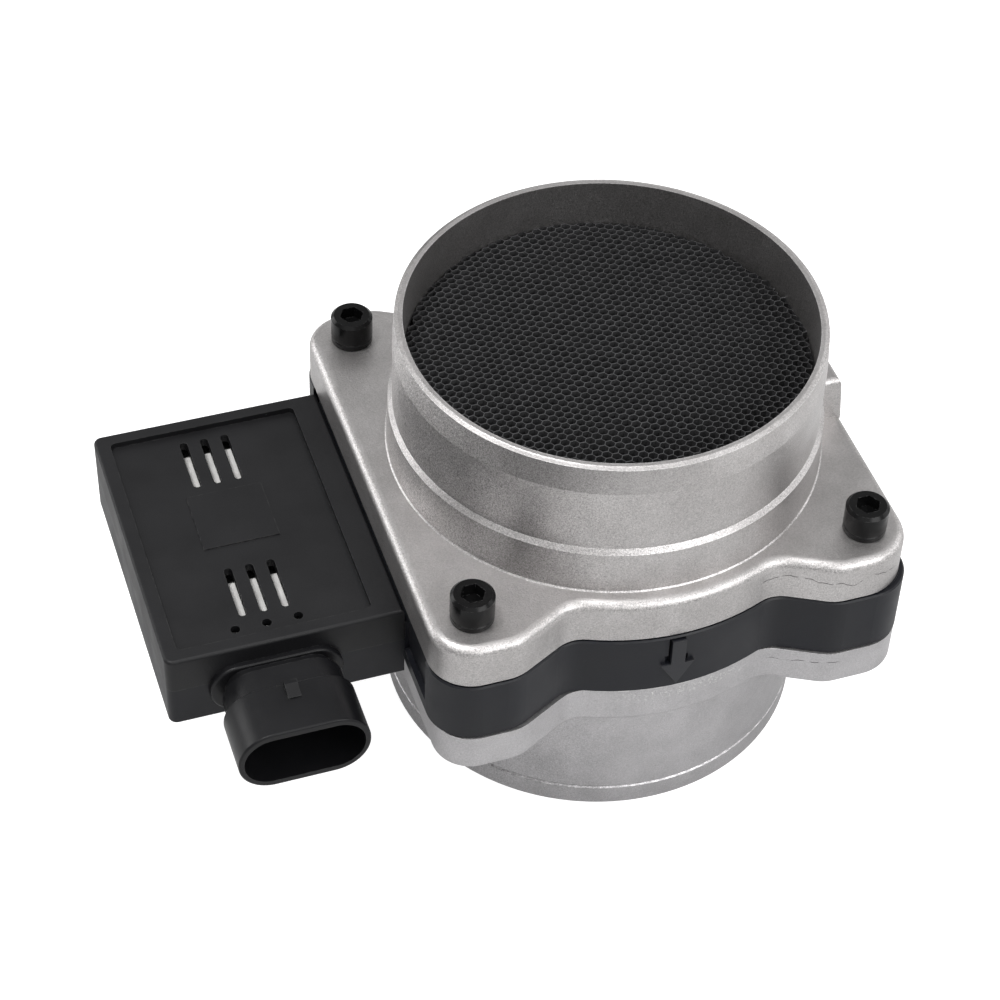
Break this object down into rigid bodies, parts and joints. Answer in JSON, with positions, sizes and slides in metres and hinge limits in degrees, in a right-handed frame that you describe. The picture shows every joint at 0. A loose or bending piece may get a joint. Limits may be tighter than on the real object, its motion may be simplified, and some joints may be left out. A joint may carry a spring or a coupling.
{
  "type": "mass airflow sensor",
  "caption": "Tubular mass airflow sensor: two cast spigots clamp a black ring with a side electronics box, front connector, honeycomb inlet screen and a sensing bridge.",
  "frame": {"origin": "on the bore axis at the end face of the outlet spigot, which the part stands on", "axes": "+Z along the bore axis from outlet to inlet, +X away from the electronics box, -Y towards the connector's open end"},
  "size_m": [0.1692, 0.116, 0.1112],
  "materials": {
    "cast_aluminium": "bead-blasted die casting, warm light grey",
    "sheet_aluminium": "rolled, satin",
    "screen_aluminium": "thin foil honeycomb, satin",
    "black_moulding": "glass-filled moulding, fine grain, satin",
    "connector_plastic": "moulded, satin black",
    "component_black": "moulded body, matt",
    "board_laminate": "coated green laminate",
    "seal_rubber": "moulded rubber, matt",
    "black_steel": "black oxide, lightly oiled",
    "zinc_steel": "zinc plated",
    "tinned_brass": "tin plated",
    "element_metal": "fine bright wire"
  },
  "bodies": {
    "root": {"inlet_housing": "cast_aluminium", "outlet_housing": "cast_aluminium", "sensor_body": "black_moulding", "electronics_cover": "black_moulding", "cover_gasket": "seal_rubber", "heat_spreader": "sheet_aluminium", "circuit_board": "board_laminate", "control_chip": "component_black", "chip_resistors": "component_black", "capacitors": "sheet_aluminium", "board_screws": "zinc_steel", "connector_shell": "connector_plastic", "connector_pins": "tinned_brass", "sampling_bridge": "black_moulding", "element_posts": "zinc_steel", "lead_strips": "tinned_brass", "hot_wire": "element_metal", "air_temperature_bead": "component_black", "inlet_screen": "screen_aluminium", "screen_frame": "sheet_aluminium", "inlet_seal": "seal_rubber", "outlet_seal": "seal_rubber", "cap_screws": "black_steel", "lock_washers": "black_steel", "spacer_sleeves": "zinc_steel"}
  },
  "joints": []
}
